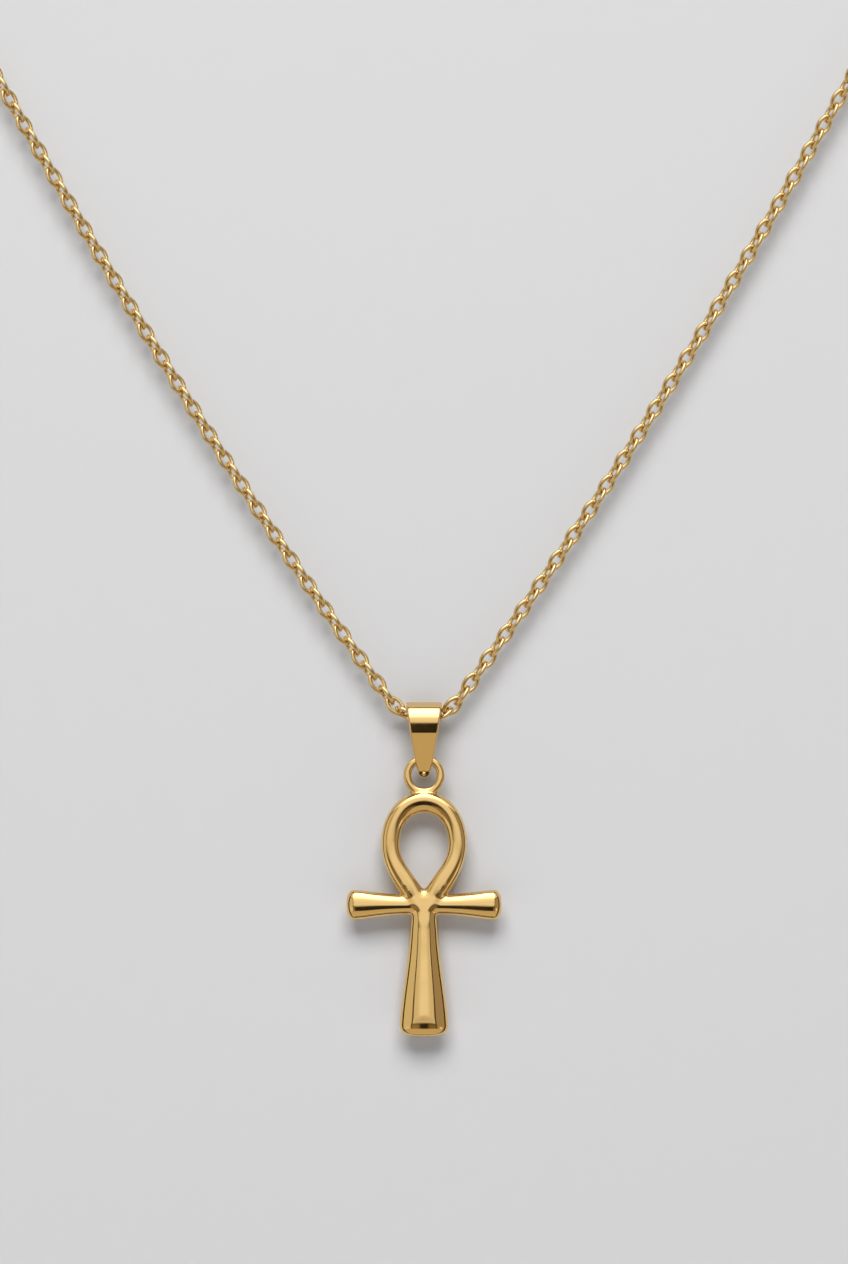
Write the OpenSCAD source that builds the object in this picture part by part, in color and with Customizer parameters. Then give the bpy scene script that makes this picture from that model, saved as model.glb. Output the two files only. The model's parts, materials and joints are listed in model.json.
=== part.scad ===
// Ankh pendant: a cast ankh with a round eye, a tapered bail and a whole neck chain of oval links.
// It hangs in the XZ plane with its front towards -Y, and the origin is at the nape, in the clasp.

/* [Chain] */
// Length of the closed chain, clasp included
chain_length = 457; // [420:1:520]
// Thickness of the round wire of a link
wire = 0.5; // [0.4:0.05:0.55]
// Distance from one link to the next
pitch = 1.95; // [1.8:0.05:2.2]
// Distance between the links that bend round the bail, which crowd together
bend_pitch = 1.7; // [1.65:0.05:1.75]
// Width of the opening inside a link
link_opening = 1.15; // [1.1:0.05:1.25]
// Clearance between two linked wires
link_play = 0.2; // [0.18:0.01:0.25]

/* [Clasp] */
// Thickness of the clasp's ring
clasp_wire = 0.6; // [0.5:0.05:0.65]
// Inner width of the small eye on the clasp
clasp_eye = 1.3; // [1.2:0.1:1.6]
// Least room for the clasp between the two ends of the chain
clasp_room = 5.2; // [5:0.1:6]

/* [Bail] */
// Bore of the roll that rides on the chain
roll_bore = 4.2; // [4:0.1:4.6]
// Thickness of the strip
strip = 0.5; // [0.4:0.05:0.7]
// Height of the roll's axis above the middle joint of the chain
roll_lift = -0.3; // [-0.4:0.05:0.1]
// Width of the strip at the top of the roll
bail_width = 4.65; // [4.2:0.05:5]
// Width of the strip where its ends join
tip_width = 1.6; // [1.3:0.05:1.8]
// Distance from the roll's axis down to where the leaves turn in towards the seat
shoulder_drop = 1.3; // [1:0.05:1.6]
// Half depth of the bail at that place
shoulder_r = 2.45; // [2.3:0.05:2.5]
// Distance from the roll's axis down to the axis that the ankh swings on
bail_drop = 4.85; // [4.7:0.05:5.6]
// Depth of the slot between the two leaves beside the eye
slot_depth = 2; // [1.9:0.05:2.2]
// Solid metal below the seat of the eye
tip_solid = 1.6; // [1.2:0.05:1.8]
// Depth of the joined ends, front to back
tip_depth = 1.9; // [1.6:0.05:2.1]
// Clearance between the eye and its seat
seat_play = 0.12; // [0.1:0.01:0.2]

/* [Eye] */
// Outer diameter of the round eye
eye_width = 5.4; // [5.2:0.05:6]
// Thickness of the eye's round bar
eye_bar = 1.1; // [1:0.02:1.2]
// Overlap of the eye and the loop where they are cast together
eye_sink = 0.75; // [0.5:0.05:0.9]

/* [Loop] */
// Outer width of the drop-shaped loop
loop_width = 11; // [9:0.1:13]
// Height from the top of the loop to the axis of the arms
loop_height = 14.8; // [13:0.1:17]
// Thickness of the loop's bar at its sides
loop_bar = 2.33; // [1.9:0.01:2.8]
// Thickness of the loop's bar at its top
crown = 2.88; // [2.4:0.02:3.2]
// Metal between the hole's lower point and the axis of the arms
crotch = 1.9; // [1.5:0.05:2.4]
// Depth of the loop's bar, front to back
loop_depth = 2.3; // [1.8:0.05:2.6]

/* [Arms] */
// Width over both arms
arm_span = 20.15; // [17:0.05:24]
// Height of an arm at its end
arm_end = 3.83; // [3.2:0.01:4.4]
// Depth of the arms, front to back
arm_depth = 2.5; // [2:0.05:2.8]
// Length of the rounding at an arm's end
arm_round = 1.2; // [0.8:0.05:1.8]

/* [Stem] */
// Length from the axis of the arms to the foot
stem_length = 17.15; // [14:0.05:21]
// Width of the stem at its foot
foot_width = 6.14; // [5:0.02:7.2]
// Depth of the stem at its foot
foot_depth = 3.1; // [2.6:0.05:3.6]
// Length of the rounding at the foot
foot_round = 2.45; // [1.6:0.05:3]
// Size of the soft blends in the corners of the crossing
blend = 0.9; // [0.5:0.05:1.2]

/* [Hidden] */
gold = [0.87, 0.68, 0.38];

// Route of one side of the chain, from the middle: [link number, slope above level].
ROUTE = [
    [0, 11], [1, 31], [2, 45], [3, 54], [12, 55.5], [23, 57.5], [36, 59.3], [50, 60.4]];
// Turn of the links about the chain's own line: [link number, turn from facing the front].
// Every second link is turned a quarter further.
TURNS = [[0, 40], [1, 30], [2, 20], [9, 30]];
// Links a side that bend round the bail
bend_links = 3;
// Front outline of the strip: [down, width], as shares of the bail's height and of its taper.
STRIP = [
    [0.00, 1.00], [0.06, 0.92], [0.13, 0.85], [0.29, 0.76], [0.44, 0.64],
    [0.61, 0.43], [0.77, 0.28], [0.86, 0.14]];
// Half of the loop, from its top round to the crotch: [hole across, hole down, loop across,
// loop down, depth], as shares of the hole's and the loop's own sizes.
LOOP = [
    [0.00, 0.000, 0.00, 0.000, 1.00],
    [0.38, 0.027, 0.38, 0.034, 1.00],
    [0.71, 0.105, 0.71, 0.131, 1.00],
    [0.92, 0.223, 0.92, 0.276, 1.00],
    [1.00, 0.360, 1.00, 0.447, 1.00],
    [0.96, 0.510, 0.96, 0.579, 1.00],
    [0.78, 0.638, 0.85, 0.697, 1.00],
    [0.51, 0.763, 0.71, 0.792, 1.03],
    [0.23, 0.890, 0.56, 0.890, 1.08],
    [0.00, 1.000, 0.00, 1.087, 1.12]];
// An arm from the axis outwards: [along, height, depth], as shares of its length and its end.
ARM = [
    [0.00, 0.68, 1.00], [0.25, 0.69, 1.00], [0.40, 0.72, 1.00],
    [0.75, 0.885, 1.01], [0.90, 0.96, 1.03], [1.00, 1.00, 1.04]];
// The stem down from the arms: [along, width, depth], as shares of its length and its foot.
STEM = [
    [0.00, 0.58, 0.82], [0.14, 0.60, 0.83], [0.27, 0.62, 0.85], [0.45, 0.69, 0.89],
    [0.66, 0.81, 0.94], [0.88, 0.935, 0.99], [1.00, 1.00, 1.00]];
// A rounded end: [along, left over], as shares of its length and of the section.
ROUNDING = [for (along = [0.3, 0.52, 0.7, 0.83, 0.92, 0.97]) [along, pow(1 - pow(along, 3), 1 / 3)]];
END_CAP = [1, 0.3];
// Sides of a section, steps between two rows of a table, and how square a section is
sides = 20;
steps = 2;
fullness = 2.3;

// Link sizes, along the middle of its wire
link_half_l = (pitch + link_play + wire) / 2;
link_half_w = (link_opening + wire) / 2;
link_end_r = 0.7 * link_half_w;
link_side_r = (pow(link_half_l, 2) + pow(link_half_w, 2) - 2 * link_half_l * link_end_r)
    / (2 * (link_half_w - link_end_r));
link_end_turn = atan2(link_side_r - link_half_w, link_half_l - link_end_r);
side_wire = wire * 0.97;
link_side_angle = 180 - 2 * link_end_turn + 2 * wire / 8 / link_side_r * 180 / PI;

// The chain's sides slope down to the bail, and an even arc joins them over the nape.
links = 2 * round((chain_length - clasp_room) / pitch / 4);
function slope(i) = lookup(i, ROUTE);
function half_step(i) = (i < bend_links ? bend_pitch : pitch) / 2;
SIDE_X = [for (i = 0, x = 0; i < links; x = x + 2 * half_step(i) * cos(slope(i)), i = i + 1) x];
function arc_step(n) = (180 - slope(n)) / (links - n);
function end_x(n) = SIDE_X[n] - pitch * sin(slope(n)) / (2 * sin(arc_step(n) / 2));
side_links = [for (n = [8 : links - 8]) if (end_x(n) >= clasp_room / 2) n][0];
function heading(i) = i < side_links ? slope(i)
    : slope(side_links) + arc_step(side_links) * (i - side_links + 0.5);
function half_reach(i) = half_step(i) * [cos(heading(i)), sin(heading(i))];
CENTRES = [for (i = 0, at = half_reach(0); i < links;
    at = at + half_reach(i) + half_reach(i + 1), i = i + 1) at];
chain_end = CENTRES[links - 1] + half_reach(links - 1);
chain_drop = chain_end[1];
function drift(i) = lookup(i, TURNS) * min(1, (links - 1 - i) / (links - side_links));
function turn(i) = drift(i) + 90 * (i % 2);

// Clasp: the ring fills what the small eye leaves between the two ends of the chain.
clasp_left = -chain_end[0] - (wire + link_play) / 2;
clasp_right = chain_end[0] + (clasp_wire + link_play) / 2;
clasp_eye_r = (clasp_eye + wire) / 2;
clasp_ring_r = (clasp_right - clasp_left) / 2 - clasp_eye_r;

// Bail, measured down from the roll's axis
roll_r = roll_bore / 2;
slot_r = slot_depth / 2;
seat_r = eye_bar / 2 + seat_play;
slot_z = -bail_drop + slot_r - seat_r;
bail_end = bail_drop + seat_r + tip_solid;
bail_top = roll_r + strip;
tip_r = tip_depth / 2;
tip_edge_r = tip_width / 2;
cleanly = 0.985;

// Ankh, measured down from the axis that it swings on, in the middle of the eye's top bar
eye_r = (eye_width - eye_bar) / 2;
hole_r = eye_r - eye_bar / 2;
loop_top = eye_r + eye_width / 2 - eye_sink;
arm_z = -loop_top - loop_height;
arm_half = arm_end / 2 * ARM[1][1];
stem_half = foot_width / 2 * STEM[1][1];
leg_x = loop_width / 2 * LOOP[8][2];

roll_z = roll_lift - chain_drop;
ankh_z = roll_z - bail_drop;

// An oval link of round wire in the XY plane, with its length along X. The two side arcs are a
// hair thinner than the ends and reach into them.
module link_arc(centre, facing, radius, angle, thickness) {
    translate(centre) rotate([0, 0, facing - angle / 2]) rotate_extrude(angle = angle, $fn = 32)
        translate([radius, 0]) circle(d = thickness, $fn = 16);
}
module link() {
    end_x = link_half_l - link_end_r;
    side_y = link_half_w - link_side_r;
    link_arc([end_x, 0, 0], 0, link_end_r, 2 * link_end_turn, wire);
    link_arc([-end_x, 0, 0], 180, link_end_r, 2 * link_end_turn, wire);
    link_arc([0, side_y, 0], 90, link_side_r, link_side_angle, side_wire);
    link_arc([0, -side_y, 0], 270, link_side_r, link_side_angle, side_wire);
}

// One side of the chain, from the middle joint up and over to the nape
module chain_side() {
    color(gold) for (i = [0 : links - 1])
        translate([CENTRES[i][0], 0, CENTRES[i][1] - chain_drop])
            rotate([0, -heading(i), 0]) rotate([90 + turn(i), 0, 0]) link();
}
module chain_right() { chain_side(); }
// The other side is the same with a half turn, so that the two middle links cross
module chain_left() { rotate([0, 0, 180]) chain_side(); }

// Ring of round wire that stands in the XZ plane
module upright_ring(radius, thickness) {
    rotate([90, 0, 0]) rotate_extrude($fn = 64) translate([radius, 0]) circle(d = thickness, $fn = 24);
}
module clasp() {
    color(gold) {
        translate([clasp_left + clasp_eye_r, 0, 0]) upright_ring(clasp_eye_r, wire);
        translate([clasp_right - clasp_ring_r, 0, 0]) upright_ring(clasp_ring_r, clasp_wire);
    }
}

// A bar along X with the outline of circles one below the other, rows of [height, radius], and
// straight sides between them. The sides run just inside the tangents, to cross the circles cleanly.
module along_x(length) {
    rotate([90, 0, 90]) translate([0, 0, -length / 2]) linear_extrude(length) children();
}
module rounded_bar(stops, length) {
    for (stop = stops) along_x(length) translate([0, stop[0]]) circle(r = stop[1], $fn = 96);
    for (k = [1 : len(stops) - 1]) {
        above = stops[k - 1];
        below = stops[k];
        lean = asin((above[1] - below[1]) / (above[0] - below[0]));
        along_x(length) polygon([for (at = [[above, 1], [below, 1], [below, -1], [above, -1]])
            [at[1] * cleanly * at[0][1] * cos(lean), at[0][0] - cleanly * at[0][1] * sin(lean)]]);
    }
}

// Bail: the side outline less the bore and the slot, cut to the strip's taper seen from the front
function strip_half(share) = (tip_width + (bail_width - tip_width) * share) / 2;
module along_y(length) {
    rotate([90, 0, 0]) translate([0, 0, -length / 2]) linear_extrude(length) children();
}
module strip_front(length) {
    height = bail_top + bail_end;
    right = [for (row = STRIP) [strip_half(row[1]), bail_top - height * row[0]]];
    low = [for (side = [1, -1]) [side * cleanly * tip_edge_r, tip_edge_r - bail_end]];
    left = [for (k = [len(right) - 1 : -1 : 0]) [-right[k][0], right[k][1]]];
    along_y(length) polygon(concat(right, low, left));
    along_y(length) translate([0, tip_edge_r - bail_end]) circle(r = tip_edge_r, $fn = 64);
}
module seat() {
    translate([0, 0, -bail_drop]) rotate([0, 90, 0]) rotate_extrude($fn = 96) difference() {
        translate([0, -strip_half(0.4)]) square([eye_r, 2 * strip_half(0.4)]);
        translate([eye_r, 0]) circle(r = hole_r - seat_play, $fn = 96);
    }
}
module bail() {
    color(gold) translate([0, 0, roll_z]) difference() {
        intersection() {
            rounded_bar([[0, bail_top], [-shoulder_drop, shoulder_r], [slot_z, slot_r + strip],
                [tip_r - bail_end, tip_r]], bail_width + 1);
            strip_front(2 * bail_top + 1);
        }
        rounded_bar([[0, roll_r], [-shoulder_drop, shoulder_r - strip], [slot_z, slot_r]], bail_width + 2);
        seat();
    }
}

// A smooth row between the rows of a table, at a place counted in rows
function smooth(before, from, to, after, f) = from
    + f * (to - before) / 2
    + f * f * (2 * before - 5 * from + 4 * to - after) / 2
    + f * f * f * (3 * from - before - 3 * to + after) / 2;
function row_at(rows, place) = let (last = len(rows) - 1, i = min(floor(place), last - 1))
    smooth(rows[max(i - 1, 0)], rows[i], rows[i + 1], rows[min(i + 2, last)], place - i);
function ring_row_at(rows, place) = let (n = len(rows), i = floor(place))
    smooth(rows[(i + n - 1) % n], rows[i % n], rows[(i + 1) % n], rows[(i + 2) % n], place - i);

// Points of a rounded section of half width 1 and half depth 1
SECTION = [for (k = [0 : sides - 1]) let (c = cos(360 * k / sides), s = sin(360 * k / sides))
    [sign(c) * pow(abs(c), 2 / fullness), sign(s) * pow(abs(s), 2 / fullness)]];

// Solid through a list of sections, closed on itself or capped at both ends
module loft(sections, closed) {
    n = len(sections);
    bands = [for (j = [0 : n - (closed ? 1 : 2)], k = [0 : sides - 1])
        let (a = j * sides, b = (j + 1) % n * sides, next = (k + 1) % sides)
        [a + k, b + k, b + next, a + next]];
    caps = closed ? [] : [
        [for (k = [0 : sides - 1]) k], [for (k = [sides - 1 : -1 : 0]) (n - 1) * sides + k]];
    polyhedron([for (points = sections) each points], concat(bands, caps), convexity = 4);
}

// Places, widths and depths along a limb with a rounded end
function limb(rows, length, rounding, width, depth) = let (last = len(rows) - 1)
    concat(
        [for (k = [0 : last * steps]) let (row = row_at(rows, k / steps))
            [(length - rounding) * row[0], row[1] * width, row[2] * depth]],
        [for (row = concat(ROUNDING, [END_CAP]))
            [length - rounding + rounding * row[0],
            rows[last][1] * row[1] * width, rows[last][2] * row[1] * depth]]);
// Solid limb along Z through such places
module limb_solid(places) {
    loft([for (at = places) [for (p = SECTION) [p[0] * at[1] / 2, p[1] * at[2] / 2, at[0]]]], false);
}

module loop() {
    mirrored = [for (k = [len(LOOP) - 2 : -1 : 1])
        [-LOOP[k][0], LOOP[k][1], -LOOP[k][2], LOOP[k][3], LOOP[k][4]]];
    rows = concat(LOOP, mirrored);
    hole_half = loop_width / 2 - loop_bar;
    hole_height = loop_height - crown - crotch;
    loft([for (k = [0 : len(rows) * steps - 1]) let (
        row = ring_row_at(rows, k / steps),
        inner = [hole_half * row[0], -loop_top - crown - hole_height * row[1]],
        outer = [loop_width / 2 * row[2], -loop_top - loop_height * row[3]])
        [for (p = SECTION) let (flat = (inner + outer) / 2 + p[0] * (inner - outer) / 2)
            [flat[0], p[1] * loop_depth / 2 * row[4], flat[1]]]], true);
}

// Soft blend between places of the casting, [across, up]
module web(places, radius) {
    hull() for (p = places) translate([p[0], 0, p[1]]) sphere(r = radius, $fn = 20);
}
module arms() {
    half = limb(ARM, arm_span / 2, arm_round, arm_end, arm_depth);
    other = [for (k = [len(half) - 1 : -1 : 1]) [-half[k][0], half[k][1], half[k][2]]];
    rotate([0, 90, 0]) limb_solid(concat(other, half));
}
module stem() {
    rotate([180, 0, 0]) limb_solid(limb(STEM, stem_length, foot_round, foot_width, foot_depth));
}
module ankh() {
    neck = eye_r * cos(50);
    color(gold) translate([0, 0, ankh_z]) {
        translate([0, 0, -eye_r]) upright_ring(eye_r, eye_bar);
        loop();
        translate([0, 0, arm_z]) {
            arms();
            stem();
        }
        // The eye runs into the top of the loop
        web([[0, -2 * eye_r], [0, -loop_top - crown / 2]], eye_bar * 0.46);
        for (side = [-1, 1]) {
            web([[side * neck, -eye_r - neck], [side * neck * 1.15, -loop_top - crown / 2]], eye_bar * 0.44);
            // Leg into arm, and arm into stem
            web([[side * (leg_x + blend), arm_z + arm_half - blend], [side * (leg_x - blend),
                arm_z + arm_half + blend], [side * (leg_x - blend), arm_z]], blend);
            web([[side * (stem_half + blend), arm_z - arm_half + blend], [side * (stem_half - blend),
                arm_z - arm_half - blend], [side * (stem_half - blend), arm_z]], blend * 0.95);
        }
        // Both legs into the stem
        web([[-leg_x / 2, arm_z + arm_half / 2], [leg_x / 2, arm_z + arm_half / 2],
            [0, arm_z - 1.6 * arm_half]], foot_depth * 0.39);
    }
}

chain_left();
chain_right();
clasp();
bail();
ankh();
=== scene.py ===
"""Looks of an ankh pendant on its whole cable chain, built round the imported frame.

The classes hold their sizes in millimetres, and a length becomes metres where its mesh is made.
The frame's origin is at the nape, +Z is up, and the pendant's front faces -Y.
"""

import json
import logging
import math
from dataclasses import dataclass, field
from enum import Enum
from typing import Callable, Sequence

import bpy
import numpy as np
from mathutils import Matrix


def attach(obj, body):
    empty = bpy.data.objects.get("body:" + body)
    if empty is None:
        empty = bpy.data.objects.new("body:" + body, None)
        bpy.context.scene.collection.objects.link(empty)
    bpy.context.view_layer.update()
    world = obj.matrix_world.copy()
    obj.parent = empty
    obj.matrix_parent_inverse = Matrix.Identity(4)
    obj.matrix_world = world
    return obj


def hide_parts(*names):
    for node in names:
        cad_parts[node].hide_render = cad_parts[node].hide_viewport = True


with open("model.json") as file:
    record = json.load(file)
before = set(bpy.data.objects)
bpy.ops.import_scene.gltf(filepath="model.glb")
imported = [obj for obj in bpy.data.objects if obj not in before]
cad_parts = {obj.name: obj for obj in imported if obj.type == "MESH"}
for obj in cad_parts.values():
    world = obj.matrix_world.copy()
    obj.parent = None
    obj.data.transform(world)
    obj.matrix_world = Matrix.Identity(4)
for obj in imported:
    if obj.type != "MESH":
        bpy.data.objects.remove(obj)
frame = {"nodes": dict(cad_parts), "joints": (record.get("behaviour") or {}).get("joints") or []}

LOG = logging.getLogger("ankh_pendant")
MM = 0.001
GRAIN = "cast_grain"
END_FULLNESS = 2.9
Field = Callable[[np.ndarray, np.ndarray, np.ndarray], np.ndarray]


class Side(Enum):
    """Which run of the chain, as its half turn about Z in degrees."""

    RIGHT = 0.0
    LEFT = 180.0


def joint_height(name: str) -> float:
    """Height of a joint's axis in the frame, in millimetres."""
    return next(j["pos_m"][2] for j in frame["joints"] if j["name"] == name) / MM


def placed(name: str, data: bpy.types.ID) -> bpy.types.Object:
    """Makes an object of some data and puts it in the scene."""
    made = bpy.data.objects.new(name, data)
    bpy.context.scene.collection.objects.link(made)
    return made


class Spline:
    """Natural cubic spline through rows of numbers.

    Args:
        knots: the place of each row, increasing.
        rows: the values at those places.
    """

    def __init__(self, knots: Sequence[float], rows: Sequence[Sequence[float]]) -> None:
        """Works out how the spline bends at each knot."""
        self.knots = np.array(knots, float)
        self.rows = np.array(rows, float)
        step = np.diff(self.knots)
        slope = np.diff(self.rows, axis=0) / step[:, None]
        count = len(self.knots)
        matrix = np.eye(count)
        target = np.zeros_like(self.rows)
        for k in range(1, count - 1):
            matrix[k, k - 1:k + 2] = step[k - 1], 2 * (step[k - 1] + step[k]), step[k]
            target[k] = 6 * (slope[k] - slope[k - 1])
        self.bend = np.linalg.solve(matrix, target)

    def at(self, place: np.ndarray, order: int = 0) -> np.ndarray:
        """Values, or their first or second derivative, at some places.

        Args:
            place: an array of places.
            order: 0 for the values, 1 or 2 for a derivative.

        Returns:
            An array with one more axis than place.
        """
        k = np.clip(np.searchsorted(self.knots, place) - 1, 0, len(self.knots) - 2)
        step = (self.knots[k + 1] - self.knots[k])[..., None]
        b = (place[..., None] - self.knots[k][..., None]) / step
        a = 1 - b
        low, high, bend_low, bend_high = self.rows[k], self.rows[k + 1], self.bend[k], self.bend[k + 1]
        if order == 0:
            return a * low + b * high + ((a**3 - a) * bend_low + (b**3 - b) * bend_high) * step**2 / 6
        if order == 1:
            return (high - low) / step + ((1 - 3 * a**2) * bend_low + (3 * b**2 - 1) * bend_high) * step / 6
        return a * bend_low + b * bend_high

    def held(self, place: np.ndarray) -> np.ndarray:
        """Values at some places, held level past the first and the last knot."""
        return self.at(np.clip(place, self.knots[0], self.knots[-1]))


class SmoothPath(Spline):
    """Spline whose rows start with a place in a plane, and which finds its nearest point.

    Args:
        rows: rows of two coordinates and any further values, such as a half width.
    """

    SAMPLES = 90
    CHUNK = 40000
    ROUNDS = 4
    LEAST_RATE = 0.3

    def __init__(self, rows: Sequence[Sequence[float]]) -> None:
        """Takes the chords' length as the place, and samples the path."""
        places = np.array(rows, float)[:, :2]
        chords = np.linalg.norm(np.diff(places, axis=0), axis=1)
        super().__init__(np.concatenate([[0.0], np.cumsum(chords)]), rows)
        self.samples = np.linspace(0, self.knots[-1], self.SAMPLES)
        self.sample_points = self.at(self.samples)[:, :2]

    def nearest(self, u: np.ndarray, v: np.ndarray) -> np.ndarray:
        """Place on the path nearest each point of the plane.

        Args:
            u: first coordinates.
            v: second coordinates, of the same shape.

        Returns:
            Places along the path, of that shape.
        """
        points = np.stack([u.ravel(), v.ravel()], axis=1)
        found = np.empty(len(points))
        for start in range(0, len(points), self.CHUNK):
            part = points[start:start + self.CHUNK]
            apart = ((part[:, None, :] - self.sample_points[None]) ** 2).sum(axis=2)
            found[start:start + self.CHUNK] = self.samples[apart.argmin(axis=1)]
        for _ in range(self.ROUNDS):
            off = self.at(found)[:, :2] - points
            along = self.at(found, 1)[:, :2]
            curl = self.at(found, 2)[:, :2]
            speed = (along**2).sum(axis=1)
            rate = np.maximum(speed + (off * curl).sum(axis=1), self.LEAST_RATE * speed)
            found = np.clip(found - (off * along).sum(axis=1) / rate, 0, self.knots[-1])
        return found.reshape(u.shape)


def smooth_min(a: np.ndarray, b: np.ndarray, reach: np.ndarray | float) -> np.ndarray:
    """Union of two distance fields, with a soft fillet where they differ by less than reach."""
    near = np.maximum(1 - np.abs(a - b) / np.maximum(reach, 1e-6), 0)
    return np.minimum(a, b) - near**3 * reach / 6


def smooth_max(a: np.ndarray, b: np.ndarray, reach: np.ndarray | float) -> np.ndarray:
    """Intersection of two distance fields, with a soft edge as the fillet of smooth_min."""
    return -smooth_min(-a, -b, reach)


def round_max(a: np.ndarray, b: np.ndarray, radius: float) -> np.ndarray:
    """Intersection of two distance fields with a round edge of some radius."""
    a, b = a + radius, b + radius
    return np.minimum(np.maximum(a, b), 0) + np.hypot(np.maximum(a, 0), np.maximum(b, 0)) - radius


def eased(value: np.ndarray) -> np.ndarray:
    """Step from 0 to 1 with soft ends, over values from 0 to 1."""
    value = np.clip(value, 0, 1)
    return value**2 * (3 - 2 * value)


def squared_off(a: np.ndarray, b: np.ndarray, power: np.ndarray | float) -> np.ndarray:
    """Superellipse measure of two shares, 1 on its outline."""
    return (np.abs(a) ** power + np.abs(b) ** power + 1e-12) ** (1 / power)


def bar_field(across: np.ndarray, deep: np.ndarray, over: np.ndarray, size: np.ndarray) -> np.ndarray:
    """Distance field of a bar with a domed section and a rounded end.

    Args:
        across: distance from the bar's middle line, positive on its outer side.
        deep: distance front to back.
        over: share of the end's rounding that is passed.
        size: on the last axis half width, half depth, how far the crest lies towards the outer
            side, and how square the section is on its outer and on its inner side.

    Returns:
        The field, in millimetres.
    """
    half, depth, crest, outer, inner = np.moveaxis(size, -1, 0)
    off = across - crest
    reach = np.where(off > 0, half - crest, half + crest)
    share = squared_off(off / reach, deep / depth, np.where(off > 0, outer, inner))
    share = squared_off(share, over, END_FULLNESS)
    return np.sqrt(off**2 + deep**2 + (over * half) ** 2) * (1 - 1 / share)


def egg_field(
        x: np.ndarray, y: np.ndarray, z: np.ndarray, size: tuple[float, float, float]) -> np.ndarray:
    """Distance field of an ellipsoid with its three half sizes, in millimetres."""
    share = np.sqrt((x / size[0]) ** 2 + (y / size[1]) ** 2 + (z / size[2]) ** 2 + 1e-9)
    return np.sqrt(x**2 + y**2 + z**2) * (1 - 1 / share)


@dataclass
class Casting:
    """Mesh of the surface where a field is zero.

    Args:
        shape: the field, negative in the metal.
        low: lowest corner of the box that holds it, in millimetres.
        high: highest corner.
        cell: size of a cell, in millimetres.
    """

    RELAXINGS = 3
    RELAX_SHARE = 0.5
    TICK = 0.02
    LEAST_SLOPE = 0.05
    LARGEST_MOVE = 0.4

    shape: Field
    low: tuple[float, float, float]
    high: tuple[float, float, float]
    cell: float
    verts: np.ndarray = field(init=False)
    quads: np.ndarray = field(init=False)
    normals: np.ndarray = field(init=False)

    def __post_init__(self) -> None:
        """Builds the mesh, then settles it on the true surface."""
        axes = [np.arange(a, b + self.cell, self.cell) for a, b in zip(self.low, self.high)]
        self._net(self.shape(*np.ix_(*axes)))
        for _ in range(self.RELAXINGS):
            self._relax()
            self._settle(2)
        self._settle(2)

    def _net(self, grid: np.ndarray) -> None:
        """Surface net: one vertex in each cell that the surface crosses, one quad round each edge."""
        inside = grid < 0
        cells = tuple(n - 1 for n in grid.shape)
        total = np.zeros(cells + (3,))
        count = np.zeros(cells)
        crossings = []
        for axis in range(3):
            near = [slice(None)] * 3
            far = [slice(None)] * 3
            near[axis], far[axis] = slice(None, -1), slice(1, None)
            near, far = tuple(near), tuple(far)
            at = np.argwhere(inside[near] != inside[far])
            starts = grid[near][tuple(at.T)]
            share = starts / (starts - grid[far][tuple(at.T)])
            point = at.astype(float)
            point[:, axis] += share
            sides = [k for k in range(3) if k != axis]
            for steps in ((0, 0), (0, 1), (1, 0), (1, 1)):
                cell = at.copy()
                cell[:, sides] -= steps
                np.add.at(total, tuple(cell.T), point)
                np.add.at(count, tuple(cell.T), 1)
            crossings.append((at, inside[near][tuple(at.T)], sides))
        held = count > 0
        number = np.full(cells, -1)
        number[held] = np.arange(held.sum())
        self.verts = np.array(self.low) + total[held] / count[held][:, None] * self.cell
        quads = []
        for at, starts_inside, sides in crossings:
            corners = []
            for steps in ((0, 0), (1, 0), (1, 1), (0, 1)):
                cell = at.copy()
                cell[:, sides] -= steps
                corners.append(number[tuple(cell.T)])
            ring = np.stack(corners, axis=1)
            outward = starts_inside if sides[1] - sides[0] == 1 else ~starts_inside
            ring[~outward] = ring[~outward][:, ::-1]
            quads.append(ring)
        self.quads = np.concatenate(quads)

    def _slope(self) -> tuple[np.ndarray, np.ndarray]:
        """Field and its gradient at the vertices."""
        x, y, z = self.verts.T
        tick = self.TICK
        slope = np.stack([
            self.shape(x + tick, y, z) - self.shape(x - tick, y, z),
            self.shape(x, y + tick, z) - self.shape(x, y - tick, z),
            self.shape(x, y, z + tick) - self.shape(x, y, z - tick)], axis=1) / (2 * tick)
        return self.shape(x, y, z), slope

    def _settle(self, rounds: int) -> None:
        """Moves the vertices onto the surface and keeps its normals there."""
        for _ in range(rounds):
            value, slope = self._slope()
            size = (slope**2).sum(axis=1)
            move = (value / np.maximum(size, self.LEAST_SLOPE))[:, None] * slope
            limit = np.maximum(np.linalg.norm(move, axis=1) / (self.LARGEST_MOVE * self.cell), 1)
            self.verts -= move / limit[:, None]
        self.normals = slope / np.linalg.norm(slope, axis=1)[:, None]

    def _relax(self) -> None:
        """Evens out the vertices along the surface."""
        total = np.zeros_like(self.verts)
        count = np.zeros(len(self.verts))
        for k in range(4):
            ends = self.quads[:, k], self.quads[:, (k + 1) % 4]
            for one, other in (ends, ends[::-1]):
                np.add.at(total, one, self.verts[other])
                np.add.at(count, one, 1)
        self.verts += self.RELAX_SHARE * (total / count[:, None] - self.verts)

    def piece(self, name: str, lift: float, material: bpy.types.Material) -> bpy.types.Object:
        """Makes the Blender object.

        Args:
            name: the piece's name.
            lift: height of the field's own origin in the frame, in millimetres.
            material: its finish.

        Returns:
            The object, at the origin, with its place in its mesh.
        """
        mesh = bpy.data.meshes.new(name)
        mesh.from_pydata(((self.verts + (0, 0, lift)) * MM).tolist(), [], self.quads.tolist())
        mesh.validate()
        mesh.shade_smooth()
        mesh.normals_split_custom_set_from_vertices(self.normals.tolist())
        mesh.materials.append(material)
        return placed(name, mesh)


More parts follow.
